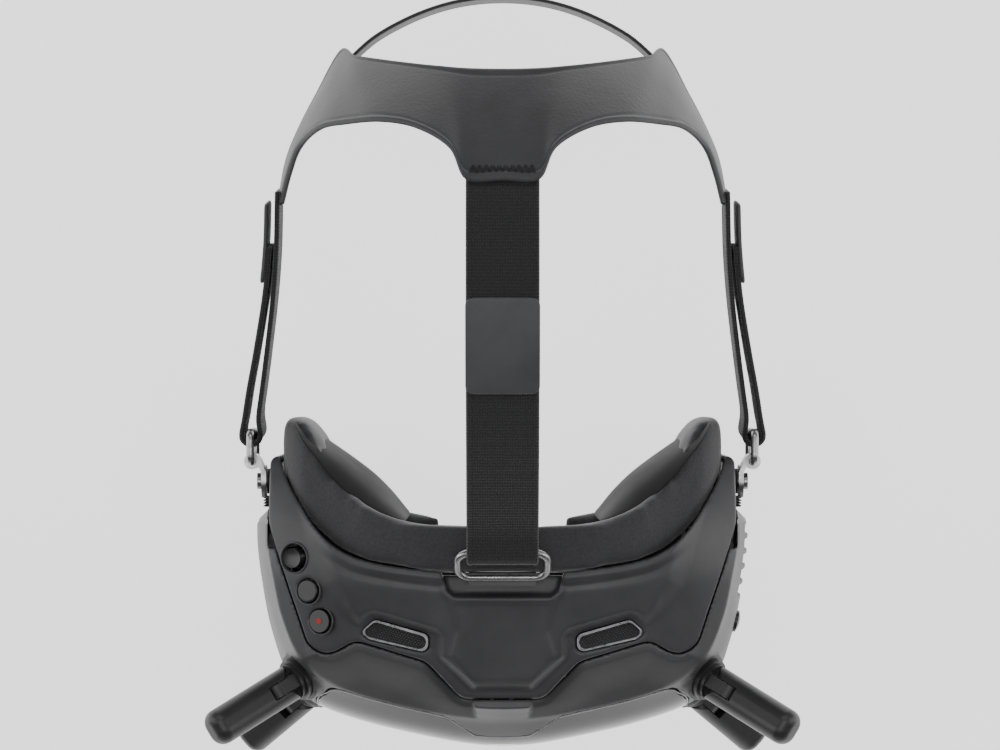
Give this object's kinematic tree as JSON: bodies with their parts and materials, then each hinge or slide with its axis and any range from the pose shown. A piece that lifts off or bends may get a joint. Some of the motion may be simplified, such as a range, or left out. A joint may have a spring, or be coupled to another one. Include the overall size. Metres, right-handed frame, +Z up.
{
  "type": "fpv goggles",
  "caption": "Head-worn video goggles with foldable antennas, foam face pad, sliding eyepieces and a three-band elastic headband.",
  "frame": {"origin": "where the wearer's forehead meets the face foam, at eye level, midway between the eyes", "axes": "+Z up, +Y towards the back of the wearer's head, +X towards the wearer's left; the wearer looks along -Y"},
  "size_m": [0.213, 0.2805, 0.1558],
  "materials": {
    "cover_plastic": "dark grey moulded plastic with a fine texture",
    "shell_plastic": "grey painted plastic, satin",
    "gloss_plate": "glossy brown-black plastic",
    "bright_trim": "bright satin",
    "inner_plastic": "black, matt",
    "face_foam": "knitted fabric over foam",
    "steel": "gunmetal, polished",
    "button_plastic": "dark satin",
    "aluminium": "raw",
    "circuit_board": "solder mask",
    "red_mark": "red",
    "yoke_leather": "soft-touch synthetic leather",
    "webbing": "woven elastic webbing",
    "soft_tab": "moulded soft plastic",
    "lens_glass": "coated lens",
    "display_glass": "display, off",
    "antenna_plastic": "black satin"
  },
  "bodies": {
    "housing": {"top_cover": "cover_plastic", "bottom_cover": "cover_plastic", "front_shell": "shell_plastic", "front_plate": "gloss_plate", "front_badge": "gloss_plate", "badge_trim": "bright_trim", "eye_frame": "inner_plastic", "face_foam": "face_foam", "outlet_grille": "inner_plastic", "housing_screws": "steel", "power_jack": "inner_plastic", "audio_jack": "inner_plastic", "fan_frame": "inner_plastic", "heat_sink": "aluminium", "mainboard": "circuit_board", "five_way_base": "inner_plastic", "ring_clip": "cover_plastic", "side_studs": "steel", "stud_washers": "inner_plastic", "intake_bezel_right": "bright_trim", "intake_bezel_left": "bright_trim", "intake_mesh_right": "inner_plastic", "intake_mesh_left": "inner_plastic"},
    "headband": {"yoke": "yoke_leather", "rear_band": "yoke_leather", "side_hook_right": "steel", "side_hook_left": "steel", "side_ring_right": "steel", "side_ring_left": "steel", "side_strap_right": "webbing", "side_strap_left": "webbing", "side_strap_tab_right": "soft_tab", "side_strap_tab_left": "soft_tab"},
    "top_strap": {"top_strap": "webbing", "top_strap_tab": "soft_tab"},
    "top_ring": {"top_ring": "steel"},
    "eyepiece_right": {"lens_barrel_right": "inner_plastic", "lens_right": "lens_glass", "display_right": "display_glass", "ipd_slider_right": "button_plastic"},
    "eyepiece_left": {"lens_barrel_left": "inner_plastic", "lens_left": "lens_glass", "display_left": "display_glass", "ipd_slider_left": "button_plastic"},
    "fan_rotor": {"fan_rotor": "inner_plastic"},
    "back_button": {"back_button": "button_plastic"},
    "record_button": {"record_button": "button_plastic", "record_dot": "red_mark"},
    "link_button": {"link_button": "button_plastic"},
    "five_way_gimbal": {"five_way_gimbal": "inner_plastic"},
    "five_way_stem": {"five_way_stem": "inner_plastic"},
    "five_way_cap": {"five_way_cap": "button_plastic"},
    "antenna_foot_upper_right": {"antenna_foot_upper_right": "antenna_plastic"},
    "antenna_blade_upper_right": {"antenna_blade_upper_right": "antenna_plastic"},
    "antenna_foot_upper_left": {"antenna_foot_upper_left": "antenna_plastic"},
    "antenna_blade_upper_left": {"antenna_blade_upper_left": "antenna_plastic"},
    "antenna_foot_lower_right": {"antenna_foot_lower_right": "antenna_plastic"},
    "antenna_blade_lower_right": {"antenna_blade_lower_right": "antenna_plastic"},
    "antenna_foot_lower_left": {"antenna_foot_lower_left": "antenna_plastic"},
    "antenna_blade_lower_left": {"antenna_blade_lower_left": "antenna_plastic"}
  },
  "joints": [
    {"name": "headband_tilt", "type": "hinge", "parent": "housing", "child": "headband", "pos_m": [0, 0.0146, 0.007], "axis": [1, 0, 0], "range_deg": [0, 5]},
    {"name": "top_ring_swing", "type": "hinge", "parent": "housing", "child": "top_ring", "pos_m": [0, -0.0184, 0.0496], "axis": [1, 0, 0], "range_deg": [0, 40]},
    {"name": "top_strap_bend", "type": "hinge", "parent": "headband", "child": "top_strap", "pos_m": [0, 0.1205, 0.094], "axis": [1, 0, 0], "range_deg": [-4, 0]},
    {"name": "eyepiece_right_slide", "type": "slide", "parent": "housing", "child": "eyepiece_right", "axis": [-1, 0, 0], "range_m": [-0.003, 0.003]},
    {"name": "eyepiece_left_slide", "type": "slide", "parent": "housing", "child": "eyepiece_left", "axis": [1, 0, 0], "range_m": [-0.003, 0.003]},
    {"name": "fan_spin", "type": "hinge", "parent": "housing", "child": "fan_rotor", "pos_m": [0.071, -0.019, 0.001], "axis": [1, 0, 0], "continuous": true},
    {"name": "back_button_press", "type": "slide", "parent": "housing", "child": "back_button", "axis": [0.4695, 0, -0.8829], "range_m": [0, 0.0008], "stiffness_N_per_m": 600, "springref_m": -0.0003},
    {"name": "record_button_press", "type": "slide", "parent": "housing", "child": "record_button", "axis": [0.4695, 0, -0.8829], "range_m": [0, 0.0008], "stiffness_N_per_m": 600, "springref_m": -0.0003},
    {"name": "link_button_press", "type": "slide", "parent": "housing", "child": "link_button", "axis": [-0.9737, 0.2279, 0], "range_m": [0, 0.0006], "stiffness_N_per_m": 600, "springref_m": -0.0003},
    {"name": "five_way_tilt_fore_aft", "type": "hinge", "parent": "housing", "child": "five_way_gimbal", "pos_m": [-0.07192, -0.0121, 0.03191], "axis": [0.8829, 0, 0.4695], "range_deg": [-8, 8], "stiffness_Nm_per_rad": 0.02},
    {"name": "five_way_tilt_sideways", "type": "hinge", "parent": "five_way_gimbal", "child": "five_way_stem", "pos_m": [-0.07192, -0.0121, 0.03191], "axis": [0, 1, 0], "range_deg": [-8, 8], "stiffness_Nm_per_rad": 0.02},
    {"name": "five_way_press", "type": "slide", "parent": "five_way_stem", "child": "five_way_cap", "axis": [0.4695, 0, -0.8829], "range_m": [0, 0.0005], "stiffness_N_per_m": 600, "springref_m": -0.0003},
    {"name": "antenna_upper_right_swivel", "type": "hinge", "parent": "housing", "child": "antenna_foot_upper_right", "pos_m": [-0.0742, -0.0566, 0.019], "axis": [-0.7113, -0.4184, 0.5648], "range_deg": [-60, 60]},
    {"name": "antenna_upper_right_fold", "type": "hinge", "parent": "antenna_foot_upper_right", "child": "antenna_blade_upper_right", "pos_m": [-0.08117, -0.0607, 0.02454], "axis": [-0.507, 0.8619, 0], "range_deg": [0, 80]},
    {"name": "antenna_upper_left_swivel", "type": "hinge", "parent": "housing", "child": "antenna_foot_upper_left", "pos_m": [0.0742, -0.0566, 0.019], "axis": [-0.7113, 0.4184, -0.5648], "range_deg": [-60, 60]},
    {"name": "antenna_upper_left_fold", "type": "hinge", "parent": "antenna_foot_upper_left", "child": "antenna_blade_upper_left", "pos_m": [0.08117, -0.0607, 0.02454], "axis": [-0.507, -0.8619, 0], "range_deg": [0, 80]},
    {"name": "antenna_lower_right_swivel", "type": "hinge", "parent": "housing", "child": "antenna_foot_lower_right", "pos_m": [-0.0715, -0.0635, -0.028], "axis": [-0.609, -0.5359, -0.5847], "range_deg": [-60, 60]},
    {"name": "antenna_lower_right_fold", "type": "hinge", "parent": "antenna_foot_lower_right", "child": "antenna_blade_lower_right", "pos_m": [-0.07747, -0.06875, -0.03373], "axis": [-0.6606, 0.7507, 0], "range_deg": [0, 80]},
    {"name": "antenna_lower_left_swivel", "type": "hinge", "parent": "housing", "child": "antenna_foot_lower_left", "pos_m": [0.0715, -0.0635, -0.028], "axis": [-0.609, 0.5359, 0.5847], "range_deg": [-60, 60]},
    {"name": "antenna_lower_left_fold", "type": "hinge", "parent": "antenna_foot_lower_left", "child": "antenna_blade_lower_left", "pos_m": [0.07747, -0.06875, -0.03373], "axis": [-0.6606, -0.7507, 0], "range_deg": [0, 80]}
  ],
  "couplings": [
    {"joint": "top_ring_swing", "follows": "headband_tilt", "ratio": 7},
    {"joint": "top_strap_bend", "follows": "headband_tilt", "ratio": -0.56}
  ]
}
